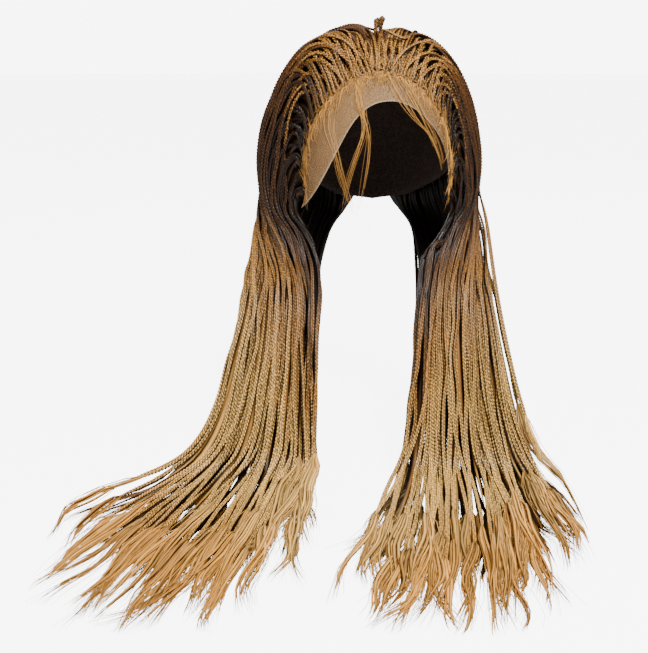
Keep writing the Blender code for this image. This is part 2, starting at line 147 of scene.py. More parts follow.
drapeRows = {
    "left": [
        ((0.195, 0.165, 0.412), (0.320, 0.180, 0.420), (0.440, 0.155, 0.430), 1.00),
        ((0.205, 0.245, 0.565), (0.340, 0.260, 0.585), (0.485, 0.240, 0.590), 1.00),
        ((0.207, 0.280, 0.745), (0.362, 0.297, 0.750), (0.535, 0.282, 0.750), 1.00),
        ((0.207, 0.310, 0.905), (0.392, 0.335, 0.905), (0.625, 0.318, 0.905), 0.96),
        ((0.207, 0.360, 0.985), (0.432, 0.405, 0.985), (0.755, 0.372, 0.985), 0.84),
        ((0.212, 0.475, 1.000), (0.498, 0.600, 1.000), (0.875, 0.445, 1.000), 0.66),
        ((0.225, 0.610, 1.000), (0.590, 0.820, 1.000), (0.965, 0.520, 1.000), 0.42),
        ((0.245, 0.740, 1.000), (0.700, 1.050, 1.000), (1.035, 0.600, 1.000), 0.20),
    ],
    "right": [
        ((0.212, 0.165, 0.405), (0.400, 0.180, 0.420), (0.575, 0.155, 0.430), 1.00),
        ((0.190, 0.245, 0.565), (0.405, 0.260, 0.585), (0.618, 0.240, 0.585), 1.00),
        ((0.155, 0.280, 0.745), (0.420, 0.297, 0.750), (0.680, 0.278, 0.745), 1.00),
        ((0.120, 0.312, 0.905), (0.445, 0.335, 0.905), (0.765, 0.305, 0.895), 0.96),
        ((0.070, 0.370, 0.985), (0.458, 0.405, 0.985), (0.850, 0.345, 0.985), 0.84),
        ((-0.005, 0.540, 1.000), (0.445, 0.620, 1.000), (0.915, 0.430, 1.000), 0.66),
        ((-0.100, 0.720, 1.000), (0.395, 0.850, 1.000), (0.955, 0.530, 1.000), 0.42),
        ((-0.210, 0.890, 1.000), (0.330, 1.060, 1.000), (0.980, 0.640, 1.000), 0.20),
    ],
}
splitAt = 12.6  # rows from the root where the loose ends part
tipReach = {
    "left front": (0.74, 0.98, 0.90, 1.00, 0.92, 1.00, 0.90),
    "left rear": (0.50, 0.70, 0.60, 0.72, 0.62, 0.68),
    "right front": (0.88, 1.00, 0.90, 0.98, 0.90, 1.00, 0.84),
    "right rear": (0.66, 0.60, 0.70, 0.62, 0.72, 0.60),
}
floorLevel = cadBox[0].z - 0.0004  # just under the lowest solid
floorRoom = 0.0003  # between the floor and the hair on it
headHalf = np.array([head["width"], head["length"], head["height"]]) / 2
headMiddle = np.array([0, 0, -head["height"] / 2])


def toLinear(red, green, blue):
    # Display colour in 0 to 255 as the shader's own values
    shares = np.array([red, green, blue]) / 255
    values = np.where(shares <= 0.04045, shares / 12.92, ((shares + 0.055) / 1.055) ** 2.4)
    return (*[float(x) for x in values], 1.0)


# Ways over the head and down the bundles

def headPoint(turn, climb, lift=0.0):
    # Turn from the face and climb from ear level, in degrees
    a, e = np.radians(turn), np.radians(climb)
    unit = np.stack([np.cos(e) * np.sin(a), -np.cos(e) * np.cos(a), np.sin(e) + 0 * a], axis=-1)
    out = unit / headHalf
    out = out / np.linalg.norm(out, axis=-1, keepdims=True)
    return unit * headHalf + out * np.asarray(lift, float)[..., None] + headMiddle


def hairline(tau):
    # Turn and climb of the hairline; tau runs from -90 at one ear to 90 at the other
    tau = np.radians(tau)
    rise = cap["hairlineTop"] - cap["hairlineEar"]
    return cap["earTurn"] * np.sin(tau), cap["hairlineEar"] + rise * np.cos(tau)


def keepOffHead(points, lift):
    # Moves points that lie nearer than the lift out to it
    reach = headHalf + np.asarray(lift)[..., None]
    q = np.linalg.norm((points - headMiddle) / reach, axis=-1, keepdims=True)
    return np.where(q < 1, headMiddle + (points - headMiddle) / np.maximum(q, 1e-6), points)


def ontoHead(points, lift):
    # Moves points to the lift, from inside and from outside
    q = np.linalg.norm((points - headMiddle) / (headHalf + lift), axis=-1, keepdims=True)
    return headMiddle + (points - headMiddle) / q


def hangPoint(side, sign, shares):
    # Place below ear level, from its shares of the spread, the forward reach and the fall
    x, y, z = shares
    fall = head["drop"] - head["height"] / 2
    return np.array([sign * x * bundle["spread"][side], -y * bundle["reach"], headMiddle[2] - z * fall])


def smoothWay(points, s):
    # Uniform cubic B-spline that starts and ends on its first and last points
    pts = np.asarray(points, float)
    full = np.vstack([2 * pts[0] - pts[1], pts, 2 * pts[-1] - pts[-2]])
    s = np.asarray(s, float)
    i = np.minimum(np.floor(s).astype(int), len(pts) - 2)
    u = (s - i)[:, None]
    a, b, c, d = full[i], full[i + 1], full[i + 2], full[i + 3]
    return ((1 - u) ** 3 * a + (3 * u ** 3 - 6 * u ** 2 + 4) * b
            + (-3 * u ** 3 + 3 * u ** 2 + 3 * u + 1) * c + u ** 3 * d) / 6


def makeLayer(side, layer):
    # One layer of one bundle: its rows and which way it faces
    sign = -1 if side == "left" else 1
    name = f"{side} {layer}"
    rows = headRows[layer] + neckRows[name] + drapeRows[side]
    onHead = len(headRows[layer])
    lift, stand = cap["wall"] + cap["gap"], bundle["stand"][side]
    columns = [[headPoint(sign * turn, climb, lift + share * stand) for turn, climb, share in row[:3]]
               for row in rows[:onHead]]
    columns += [[hangPoint(side, sign, shares) for shares in row[:3]] for row in rows[onHead:]]
    thick = np.array([bundle["rootShare"]] + [row[3] for row in rows]) * bundle["layer"]
    return {"name": name, "sign": sign, "front": layer == "front", "columns": np.array(columns),
            "thick": thick, "last": len(rows), "shared": onHead + len(neckRows[name])}


def layerRoot(layer, v):
    # Root line: the hairline in front, the middle of the back behind
    lift = cap["wall"] + cap["gap"] + layer["thick"][0] / 2
    if layer["front"]:
        turn, climb = hairline(bundle["rootEnds"] + (bundle["partTurn"] - bundle["rootEnds"]) * v)
        return headPoint(layer["sign"] * turn, climb, lift)
    top = cap["hairlineTop"] + bundle["rearSetback"]
    arc = bundle["napeTurn"] + (top - bundle["napeTurn"]) * v
    turn = bundle["partTurn"] if arc < 90 else 180.0 - bundle["partTurn"]
    point = headPoint(layer["sign"] * turn, arc if arc < 90 else 180.0 - arc, lift)
    point[0] = layer["sign"] * head["width"] / 2 * sin(radians(bundle["partTurn"]))
    return point


def layerThick(layer, s):
    return np.interp(s, np.arange(len(layer["thick"])), layer["thick"])


def layerBase(layer, v, s):
    inner, middle, outer = layer["columns"].transpose(1, 0, 2)
    rows = (1 - v) * (1 - 2 * v) * inner + 4 * v * (1 - v) * middle + v * (2 * v - 1) * outer
    points = np.vstack([layerRoot(layer, v), rows])
    flat = np.arange(layer["last"] - bundle["flatRows"] + 1, layer["last"] + 1)
    points[flat, 2] = -head["drop"] + layer["thick"][flat] + 2 * cap["gap"]
    half = layerThick(layer, s) / 2
    return keepOffHead(smoothWay(points, s), cap["wall"] + cap["gap"] + half)


def layerFrame(layer, v, s):
    # Middle of the layer, the way out of it, the way across it and its local width
    here = layerBase(layer, v, s)
    probe = bundle["probe"]
    s0, s1 = np.maximum(s - probe, 0), np.minimum(s + probe, layer["last"])
    along = layerBase(layer, v, s1) - layerBase(layer, v, s0)
    v0, v1 = max(v - probe, 0), min(v + probe, 1)
    side = layerBase(layer, v1, s) - layerBase(layer, v0, s)
    width = np.linalg.norm(side, axis=1) / (v1 - v0)
    normal = np.cross(along, side) * layer["sign"]
    normal /= np.linalg.norm(normal, axis=1, keepdims=True)
    shows = 1 if layer["front"] else -1
    off = np.clip(s - layer["shared"], 0, 1) * (layerThick(layer, s) / 2 + cap["gap"])
    along /= np.linalg.norm(along, axis=1, keepdims=True)
    out = normal * shows
    return here + normal * (off * shows)[:, None], out, np.cross(along, out), width


def surveyLayer(layer, marks=300, lines=41):
    # Frames of the layer on a grid, so that a braid may change its place across it
    s = np.linspace(0, layer["last"], marks)
    found = [layerFrame(layer, v, s) for v in np.linspace(0, 1, lines)]
    layer["grid"] = [np.array([frame[k] for frame in found]) for k in (0, 1, 3)]


def onLayer(layer, v, s):
    # Middle of the layer, the way out of it and its width at each pair of v and s
    lines, marks = layer["grid"][2].shape
    x = np.clip(np.asarray(s) / layer["last"], 0, 1) * (marks - 1.001)
    y = np.clip(v, 0, 1) * (lines - 1.001)
    i, j = x.astype(int), y.astype(int)
    fx, fy = x - i, y - j
    made = []
    for values in layer["grid"]:
        a, b = (fx, fy) if values.ndim == 2 else (fx[:, None], fy[:, None])
        made.append((1 - b) * ((1 - a) * values[j, i] + a * values[j, i + 1])
                    + b * ((1 - a) * values[j + 1, i] + a * values[j + 1, i + 1]))
    return made


def at(marks, run, channel):
    return np.array([np.interp(marks, run, channel[:, k]) for k in range(channel.shape[1])]).T


def evenly(parts, *channels):
    # The channels again at even steps along the first one
    run = lengthAlong(channels[0])
    marks = np.linspace(0, run[-1], parts + 1)
    return [marks] + [at(marks, run, channel) for channel in channels]


def lengthAlong(way):
    return np.concatenate([[0], np.cumsum(np.linalg.norm(np.diff(way, axis=0), axis=1))])


def turnedAcross(way, out):
    # Turns the outward directions square to the way, and gives the ones across it too
    along = np.gradient(way, axis=0)
    along /= np.linalg.norm(along, axis=1, keepdims=True)
    across = np.cross(along, out)
    across /= np.linalg.norm(across, axis=1, keepdims=True)
    return np.cross(across, along), across


def wander(rng, marks, size, wave):
    # Slow drift of about that size, with that wavelength
    knots = np.arange(marks[0], marks[-1] + 2 * wave, wave)
    return np.interp(marks, knots, rng.normal(0, size, len(knots)))


def smoother(values, passes):
    for _ in range(passes):
        padded = np.concatenate([values[:1], values, values[-1:]])
        values = (padded[:-2] + 2 * padded[1:-1] + padded[2:]) / 4
    return values


def newObject(mesh):
    obj = bpy.data.objects.new(mesh.name, mesh)
    scene.collection.objects.link(obj)
    return obj


def fromBm(name, bm):
    mesh = bpy.data.meshes.new(name)
    bm.to_mesh(mesh)
    bm.free()
    return newObject(mesh)


def giveWall(obj, thickness, even):
    obj.data.shade_smooth()
    wall = obj.modifiers.new("wall", "SOLIDIFY")
    wall.thickness = thickness
    wall.offset = 1.0
    wall.use_even_offset = even


# Joined hair: many tapered tubes in one mesh, each with its own row in the map

class Hair:
    def __init__(self, name, columns=1):
        self.name, self.columns = name, columns
        self.points = []
        self.marks = {"along": [], "braidTone": [], "plyTone": [], "paintedShade": [], "plyShadeAndHighlight": []}
        self.count = 0  # triangles
        self.tubes = []  # sections and sides of each

    def tube(self, centres, u, w, wide, deep, sides, along, braidTone=0.0, plyTone=0.0, paintedShade=0.0, over=1.0):
        # u and w are the ways across and out of it at each section, wide and deep its half sizes
        n = len(centres)
        turn = 2 * pi * np.arange(sides) / sides + pi / 2  # the first corner is the ridge
        ring = (centres[:, None] + u[:, None] * (np.cos(turn) * np.asarray(wide)[:, None])[..., None]
                + w[:, None] * (np.sin(turn) * np.asarray(deep)[:, None])[..., None])
        self.points.append(ring.reshape(-1, 3))
        for name, value in zip(self.marks, (along, braidTone, plyTone, paintedShade)):
            self.marks[name].append(np.repeat(np.broadcast_to(value, n), sides))
        # Painted highlight on the top corner of each section and painted shade on its lower corners; a low
        # 'over' adds painted shade where a ply dips under
        plyShadeAndHighlight = np.clip(0.12 + 0.88 * np.sin(turn), 0, 1)
        self.marks["plyShadeAndHighlight"].append((np.broadcast_to(over, n)[:, None] * plyShadeAndHighlight).ravel())
        self.tubes.append((n, sides))
        self.count += 2 * sides * (n - 1) + 2 * (sides - 2)

    def build(self, material):
        points = np.vstack(self.points)
        points[:, 2] = np.maximum(points[:, 2], floorLevel + floorRoom)
        rows = int(np.ceil(len(self.tubes) / self.columns))
        loops, totals, uvs = [], [], []
        start = 0
        for index, (n, sides) in enumerate(self.tubes):
            i, j = np.meshgrid(np.arange(n - 1), np.arange(sides), indexing="ij")
            i, j = i.ravel(), j.ravel()
            k = (j + 1) % sides
            here, after = i * sides + start, (i + 1) * sides + start
            quad = np.stack([here + j, here + k, after + k, after + j], 1)
            x0, y0 = (index % self.columns) / self.columns, (index // self.columns) / rows
            x = x0 + (0.03 + 0.94 * np.stack([i, i, i + 1, i + 1], 1) / (n - 1)) / self.columns
            y = y0 + (0.06 + 0.88 * np.stack([j, j + 1, j + 1, j], 1) / sides) / rows
            loops.append(quad.ravel())
            uvs.append(np.stack([x.ravel(), y.ravel()], 1))
            totals.append(np.full(len(quad), 4))
            around = np.arange(sides)
            corners = np.stack([0.01 + 0.008 * np.cos(2 * pi * around / sides),
                                0.5 + 0.3 * np.sin(2 * pi * around / sides)], 1)
            for ends, shift in ((around[::-1], 0.0), ((n - 1) * sides + around, 0.98)):
                loops.append(ends + start)
                flat = corners[::-1] if shift == 0 else corners
                uvs.append((flat + [shift, 0]) / [self.columns, rows] + [x0, y0])
                totals.append(np.array([sides]))
            start += n * sides
        loops, totals, uvs = np.concatenate(loops), np.concatenate(totals), np.vstack(uvs)
        mesh = bpy.data.meshes.new(self.name)
        mesh.vertices.add(len(points))
        mesh.vertices.foreach_set("co", points.astype(np.float32).ravel())
        mesh.loops.add(len(loops))
        mesh.loops.foreach_set("vertex_index", loops.astype(np.int32))
        mesh.polygons.add(len(totals))
        starts = np.concatenate([[0], np.cumsum(totals)[:-1]])
        mesh.polygons.foreach_set("loop_start", starts.astype(np.int32))
        mesh.polygons.foreach_set("loop_total", totals.astype(np.int32))
        layer = mesh.uv_layers.new(name="OFBake")
        layer.data.foreach_set("uv", uvs.astype(np.float32).ravel())
        for name, values in self.marks.items():
            mark = mesh.attributes.new(name, "FLOAT", "POINT")
            mark.data.foreach_set("value", np.concatenate(values).astype(np.float32))
        mesh.update(calc_edges=True)
        mesh.validate()
        mesh.shade_smooth()
        mesh.materials.append(material)
        print(f"{self.name}: {len(self.tubes)} strands, {self.count} triangles")
        return newObject(mesh)


braid = {
    "period": 0.0102,  # length in which a ply comes back to its place
    "swing": 0.00150,
    "weave": 0.00060,
    "plyWide": 0.00112,
    "plyDeep": 0.00100,
    "rootTaper": 0.022,
    "endTaper": 0.012,
    "twist": 24.0,  # degrees that a braid turns to and fro
    "twistWave": 0.06,
}


def plait(hair, rng, way, out, across, tone, paintedShade, startAlong=0.0, rootShare=0.55, endShare=0.55):
    # Three plies that cross in turn, each with sections where it lies on top and where it dips under
    run = lengthAlong(way)
    period = braid["period"]
    paintedShade = np.broadcast_to(paintedShade, len(way))
    angle = np.radians(smoother(wander(rng, run, braid["twist"], braid["twistWave"]), 6))
    start = rng.uniform(0, 1)
    tones = rng.permutation([-0.9, 0.05, 0.95]) + rng.normal(0, 0.15, 3)
    for k in range(3):
        offset = (1 / 8 - k / 3 - start) % 0.25
        marks = np.arange(offset * period, run[-1], period / 4)
        inner = (marks > period / 12) & (marks < run[-1] - period / 12)
        marks = np.concatenate([[0.0], marks[inner], [run[-1]]])
        grow = np.interp(marks, [0, braid["rootTaper"]], [rootShare, 1.0])
        grow *= np.interp(run[-1] - marks, [0, braid["endTaper"]], [endShare, 1.0])
        turn = np.interp(marks, run, angle)[:, None]
        out1, across1 = at(marks, run, out), at(marks, run, across)
        u = across1 * np.cos(turn) + out1 * np.sin(turn)
        w = out1 * np.cos(turn) - across1 * np.sin(turn)
        phase = 2 * pi * (marks / period + k / 3 + start)
        lift = np.sin(2 * phase)
        centres = (at(marks, run, way) + u * (braid["swing"] * np.sin(phase) * grow)[:, None]
                   + w * (braid["weave"] * lift * grow)[:, None])
        # The last value is low where a ply dips under its neighbours: painted shade
        hair.tube(centres, u, w, braid["plyWide"] * grow, braid["plyDeep"] * grow, 3, startAlong + marks,
                  tone, tones[k], np.interp(marks, run, paintedShade), 0.6 + 0.4 * lift)


ends = {
    "length": (0.075, 0.165),
    "blades": 6,  # flat tapered locks in one loose end
    "hairs": 9,
    "parts": 24,
    "bladeSteps": 10,
    "hairSteps": 6,
    "bladeWide": 0.0015,
    "bladeDeep": 0.0007,
    "bladeForm": ([0, 0.15, 0.4, 0.75, 1.0], [0.45, 0.85, 1.0, 0.6, 0.05]),
    # shade: painted shade between the locks of a loose end
    "shade": 0.18,  # by which each next blade of three is darker
    "hairWide": 0.00045,
    "tip": 0.00010,
    "spread": 0.0038,
    "sweep": 0.012,  # how far an end swings to one side
    "wave": 0.0042,
    "waves": 1.2,
    "beyond": (0.002, 0.024),  # how far an end reaches past its row
    "held": 0.28,  # share of its overhang that an end keeps beyond the solid pieces
}


def tuft(hair, rng, way, out, across, tone, startAlong, spread, paintedShade=0.0, sweep=ends["sweep"]):
    # Loose end of a braid: flat locks and single hairs that open after the last crossing and meet in a point
    marks, *ways = evenly(ends["parts"], way, out, across)
    length, blades = marks[-1], ends["blades"]
    lean = rng.normal(0, 1.0) * sweep
    wave, swing = ends["wave"] * rng.uniform(0.4, 1.6), rng.uniform(0, 2 * pi)
    tip = rng.normal(0, 0.45)
    low, high = np.array(cadBox[0][:2]), np.array(cadBox[1][:2])
    for n in range(blades + ends["hairs"]):
        blade = n < blades
        steps = ends["bladeSteps"] if blade else ends["hairSteps"]
        middle = 1 - abs(n - (blades - 1) / 2) / blades if blade else rng.uniform(0.5, 1.0)
        reach = length * min(0.70 + 0.30 * middle + rng.normal(0, 0.05), 1.0)
        t = np.linspace(0, 1, steps + 1)
        centres, outward, sideways = [at(t * reach, marks, channel) for channel in ways]
        leaf = np.sin(pi * np.clip(t, 0, 0.96) ** 0.62) ** 0.8  # opens fast and closes at the tip
        place = (n - (blades - 1) / 2) / blades * 2 if blade else rng.normal(0, 1.1)
        waving = wave * (np.sin(2 * pi * ends["waves"] * t + swing) - sin(swing)) * t
        aside = place * spread * leaf + lean * t ** 1.8 + waving
        aside += rng.normal(0, 0.5 if blade else 1.4) * spread * t ** 2
        above = np.abs(rng.normal(0, 0.6)) * spread * leaf
        centres = centres + sideways * aside[:, None] + outward * above[:, None]
        past = centres[:, :2] - np.clip(centres[:, :2], low, high)
        centres[:, :2] -= past * (1 - ends["held"])
        if blade:
            full = np.interp(t, *ends["bladeForm"]) * rng.uniform(0.75, 1.25)
            wide, deep, sides = ends["bladeWide"] * full, ends["bladeDeep"] * full, 4
            # Blades darker where they lie close together, and each next blade of three darker still: painted
            # shade between the locks
            bladeTone, over = tip + rng.normal(0, 0.7), 0.55 + 0.45 * leaf
            paintedShading = min(paintedShade + ends["shade"] * (n % 3), 1)
        else:
            wide = deep = ends["hairWide"] + (ends["tip"] - ends["hairWide"]) * t
            sides, bladeTone, over, paintedShading = 3, tip + rng.normal(0, 0.9), 1.0, paintedShade
        hair.tube(centres, sideways, outward, wide, deep, sides, startAlong + t * reach,
                  tone, bladeTone, paintedShading, over)


# Node groups shared by the materials

def newGroup(name, inputs, outputs):
    # The kind of each socket follows from its value
    group = bpy.data.node_groups.new(name, "ShaderNodeTree")
    for side, sockets in (("INPUT", inputs), ("OUTPUT", outputs)):
        for label, value in sockets.items():
            kind = "NodeSocket" + {1: "Float", 3: "Vector", 4: "Color"}[np.size(value)]
            group.interface.new_socket(name=label, in_out=side, socket_type=kind).default_value = value
    return group, group.nodes.new("NodeGroupInput"), group.nodes.new("NodeGroupOutput")


def fill(tree, socket, value):
    # A number or colour as the socket's own value, anything else as a link
    if isinstance(value, (int, float, tuple)):
        socket.default_value = value
    elif value is not None:
        tree.links.new(value, socket)


def newNode(tree, kind, inputs={}, **settings):
    node = tree.nodes.new("ShaderNode" + kind)
    for name, value in settings.items():
        setattr(node, name, value)
    for name, value in inputs.items():
        fill(tree, node.inputs[name], value)
    return node


def mathNode(tree, operation, a, b=None, c=None, clamp=False):
    return newNode(tree, "Math", {0: a, 1: b, 2: c}, operation=operation, use_clamp=clamp).outputs[0]


def rampNode(tree, value, low, high, toLow=0.0, toHigh=1.0):
    inputs = {"Value": value, "From Min": low, "From Max": high, "To Min": toLow, "To Max": toHigh}
    return newNode(tree, "MapRange", inputs, interpolation_type="SMOOTHSTEP").outputs["Result"]


def mixNode(tree, share, a, b, blend="MIX"):
    node = newNode(tree, "Mix", data_type="RGBA", blend_type=blend)
    for socket, value in zip([socket for socket in node.inputs if socket.enabled], (share, a, b)):
        fill(tree, socket, value)
    return [socket for socket in node.outputs if socket.enabled][0]


def bumpNode(tree, height, strength, distance):
    return newNode(tree, "Bump", {"Strength": strength, "Distance": distance, "Height": height}).outputs[0]


def netNode(tree, scale, randomness):
    # Distance from the threads of an uneven net
    place = newNode(tree, "TexCoord").outputs["Object"]
    inputs = {"Scale": scale, "Randomness": randomness, "Vector": place}
    return newNode(tree, "TexVoronoi", inputs, feature="DISTANCE_TO_EDGE").outputs["Distance"]


def newMaterial(name, roughness):
    material = bpy.data.materials.new(name)
    material.use_nodes = True
    shader = material.node_tree.nodes["Principled BSDF"]
    shader.inputs["Roughness"].default_value = roughness
    return material, material.node_tree, shader


def makeFibreGroup():
    # Fine streaks along a strand, read from the strand's row in the map
    inputs = {"Map": (0, 0, 0), "Along": 40.0, "Around": 900.0}
    group, given, made = newGroup("fibreStreaks", inputs, {"Streak": 0.0})
    split = newNode(group, "SeparateXYZ", {0: given.outputs["Map"]}).outputs
    scaled = [mathNode(group, "MULTIPLY", split[k], given.outputs[k + 1]) for k in range(2)]
    place = newNode(group, "CombineXYZ", {0: scaled[0], 1: scaled[1]}).outputs[0]
    noise = newNode(group, "TexNoise", {"Scale": 1.0, "Detail": 3.0, "Vector": place})
    group.links.new(noise.outputs["Fac"], made.inputs["Streak"])


fadesAlong = {  # where each colour takes over from the one before, in metres from the root
    "Upper": (0.02, 0.085),
    "Middle": (0.22, 0.34),
    "Light": (0.34, 0.47),
    "Tip": (0.52, 0.68),
}


def makeHairGroup():
    # Colour along a braid, from its root to its loose end, with each braid and ply a little different,
    # painted highlight on ply tops and painted shade in creases and on hair that lies low, inside or behind
    white = (1, 1, 1, 1)
    group, given, made = newGroup(
        "hairColour",
        {"Along": 0.0, "Braid Tone": 0.0, "Ply Tone": 0.0, "Painted Shade": 0.0, "Ply Shade And Highlight": 1.0, "Streak": 0.5,
         "Painted Crease Shade": 0.2, "Root": white, "Upper": white, "Middle": white, "Light": white, "Tip": white,
         "Ply Contrast": 0.3},
        {"Color": white})
    g = given.outputs
    along = mathNode(group, "ADD", g["Along"], mathNode(group, "MULTIPLY", g["Braid Tone"], 0.025))
    colour = g["Root"]
    for label, (begin, end) in fadesAlong.items():
        colour = mixNode(group, rampNode(group, along, begin, end), colour, g[label])
    shift = mathNode(group, "MULTIPLY", g["Ply Tone"], g["Ply Contrast"])
    shift = mathNode(group, "ADD", shift, mathNode(group, "MULTIPLY", g["Braid Tone"], 0.26))
    streak = mathNode(group, "SUBTRACT", g["Streak"], 0.5)
    shift = mathNode(group, "ADD", shift, mathNode(group, "MULTIPLY", streak, 1.5))
    level = mathNode(group, "ADD", shift, 1.0)
    # Painted highlight on ply tops, up to 1.26 times the colour, and painted shade down to the crease level
    # at their sides
    level = mathNode(group, "MULTIPLY", level, rampNode(group, g["Ply Shade And Highlight"], 0.12, 0.92, g["Painted Crease Shade"], 1.26))
    # Painted shade on hair that lies low, inside or behind, down to 0.14 of the colour
    level = mathNode(group, "MULTIPLY", level, rampNode(group, g["Painted Shade"], 0.0, 1.0, 1.0, 0.14))
    level = mathNode(group, "MAXIMUM", level, 0.03)
    grey = newNode(group, "CombineColor", {0: level, 1: level, 2: level}).outputs[0]
    colour = mixNode(group, 1.0, colour, grey, "MULTIPLY")
    group.links.new(colour, made.inputs["Color"])


def attributeNode(tree, name):
    return newNode(tree, "Attribute", attribute_name=name).outputs["Fac"]


def hairMaterial(name, colours, contrast, paintedCreaseShade, around, roughness):
    material, tree, shader = newMaterial(name, roughness)
    groups = bpy.data.node_groups
    place = newNode(tree, "UVMap", uv_map="OFBake").outputs[0]
    inputs = {"Around": around, "Map": place}
    fibre = newNode(tree, "Group", inputs, node_tree=groups["fibreStreaks"]).outputs[0]
    marks = {"Along": "along", "Braid Tone": "braidTone", "Ply Tone": "plyTone",
             "Painted Shade": "paintedShade", "Ply Shade And Highlight": "plyShadeAndHighlight"}
    inputs = {label: attributeNode(tree, mark) for label, mark in marks.items()}
    inputs.update({"Streak": fibre, "Ply Contrast": contrast, "Painted Crease Shade": paintedCreaseShade})
    inputs.update(zip(("Root", *fadesAlong), colours))
    look = newNode(tree, "Group", inputs, node_tree=groups["hairColour"])
    tree.links.new(look.outputs[0], shader.inputs["Base Color"])
    tree.links.new(bumpNode(tree, fibre, 0.35, 0.0004), shader.inputs["Normal"])
    shader.inputs["Specular IOR Level"].default_value = 0.42
    return material


makeFibreGroup()
makeHairGroup()
frontColours = [toLinear(*colour) for colour in (
    (206, 146, 70), (92, 56, 22), (184, 130, 64), (238, 188, 106), (210, 148, 66))]
# The rear layer: darker copies of the front colours, painted shade for the braids that lie behind
rearShadedColours = [toLinear(*colour) for colour in (
    (122, 80, 36), (92, 57, 24), (156, 106, 52), (212, 158, 82), (202, 142, 62))]
hairFront = hairMaterial("hairFront", frontColours, 0.34, 0.05, 520.0, 0.34)
hairRearShaded = hairMaterial("hairRearShaded", rearShadedColours, 0.34, 0.05, 520.0, 0.34)
looseHair = hairMaterial("looseHair", frontColours, 0.24, 0.50, 700.0, 0.5)
print("hair materials made")


# Bundles: plaited braids side by side in each layer

layers = {name: makeLayer(*name.split()) for name in ("left front", "left rear", "right front", "right rear")}
for layer in layers.values():
    surveyLayer(layer)
bundleLook = {
    "front": {
        "second": 9,  # braids rooted a little way up the cap, between these rows
        "secondRows": (0.3, 0.9),
        # inner: painted shade on the inner side of the bundle, near the neck
        "inner": (1.75, 2.8, 1.0),  # how dark they are at v 0, how fast that fades with v, and the most
        "ahead": (0.13, 1.5),  # colour offset at v 0, and how fast it fades; v is 1 in the middle
        "material": hairFront,
        "slot": "hair_front",
    },
    "rear": {
        "second": 12,
        "secondRows": (0.5, 1.9),
        "inner": (1.0, 5.0, 0.5),
        "ahead": (0.04, 0.0),
        "material": hairRearShaded,
        "slot": "hair_rear",
    },
}
lay = {  # how braids lie in their layer; levels are shares of half its thickness
    "braids": 28,
    "points": 260,
    "jitter": 0.27,  # of the roots, as a share of the distance between them
    "levels": (1.0, 0.25, 0.8, -0.4, 0.6),
    "secondLevel": 1.2,
    "levelDrift": (0.25, 2.0),  # size, and rows from one turn to the next
    "levelRange": (-0.9, 1.5),
    "openLevel": 0.9,  # where there is room
    "crowded": 0.0062,  # width for each braid under which they take their own levels
    "crowdedBy": 0.0030,
    "spare": 0.0013,  # half the depth of a braid
    "crossing": (0.6, 0.9, 1.3, 1.8),  # neighbours that a braid may pass, at the rows below
    "crossingRows": (1.5, 4.0, 8.0, 14.0),
    "margin": 0.004,
    "aside": (0.0014, 0.034),  # drift across the way, and its wavelength
    "lift": (0.0006, 0.05),
    "ease": ([0, 0.016, 0.055], [0, 0.45, 1]),  # how the drift sets in
    "nearHead": ([0, 0.006, 0.026], [1.0, 0.6, 0.0]),  # how a root leaves the cap
    "rootLift": 0.0014,
    "middle": 0.022,  # length in which rear roots leave the middle of the back
    "frontStart": (0.001, 0.005),  # how far front roots start before the hairline
    "frontLift": 0.0012,
}
# Painted shade: these ramps darken hair where it lies low, on the inner side near the neck, along the crown
# and sweep braids and on the under locks
shades = {  # how dark hair is along its way, in metres from its root
    "innerMost": 0.75,
    "lowUnder": 0.55,  # level under which a braid is darker
    "lowMost": 0.5,
    "inner": ([0, 0.015, 0.05, 0.22, 0.30, 0.37], [0.70, 1.0, 1.0, 1.0, 0.5, 0.0]),
    "low": ([0, 0.06, 0.26, 0.40], [0.2, 1.0, 0.8, 0.2]),
    "crown": ([0, 0.05, 0.2, 0.42], [0.0, 0.15, 0.4, 0.1]),
    "sweep": ([0, 0.06, 0.14, 0.25, 0.40], [0.0, 0.0, 0.35, 0.4, 0.0]),
    "under": ([0, 0.20, 0.30, 0.40], [0.92, 0.85, 0.40, 0.20]),
}


def layBraid(hair, loose, rng, way, out, across, tone, paintedShading, ahead=0.0):
    # One braid with its loose end; a root low on the head starts further ahead in colour
    run = lengthAlong(way)
    ease = np.interp(run, *lay["ease"])
    aside = smoother(wander(rng, run, *lay["aside"]), 5)
    lift = smoother(wander(rng, run, *lay["lift"]), 8)
    way = way + across * (aside * ease)[:, None] + out * (lift * ease)[:, None]
    cut = np.searchsorted(run, run[-1] - rng.uniform(*ends["length"]))
    plait(hair, rng, way[:cut + 1], out[:cut + 1], across[:cut + 1], tone, paintedShading[:cut + 1], ahead)
    back = max(cut - 2, 0)
    onward = way[-1] - way[-4]
    further = way[-1] + onward / np.linalg.norm(onward) * rng.uniform(*ends["beyond"])
    lasts = (way, further), (out, out[-1:]), (across, across[-1:])
    rest = [np.vstack([channel[back:], last]) for channel, last in lasts]
    tuft(loose, rng, *rest, tone, run[back] + ahead, ends["spread"] * rng.uniform(0.7, 1.4), paintedShading[-1] * 0.5)


def endOf(layer, v, rng):
    # Row at which a braid ends
    reaches = tipReach[layer["name"]]
    reach = reaches[min(int(v * len(reaches)), len(reaches) - 1)] * rng.uniform(0.93, 1.05)
    return splitAt + (layer["last"] - splitAt) * min(reach, 1.0)


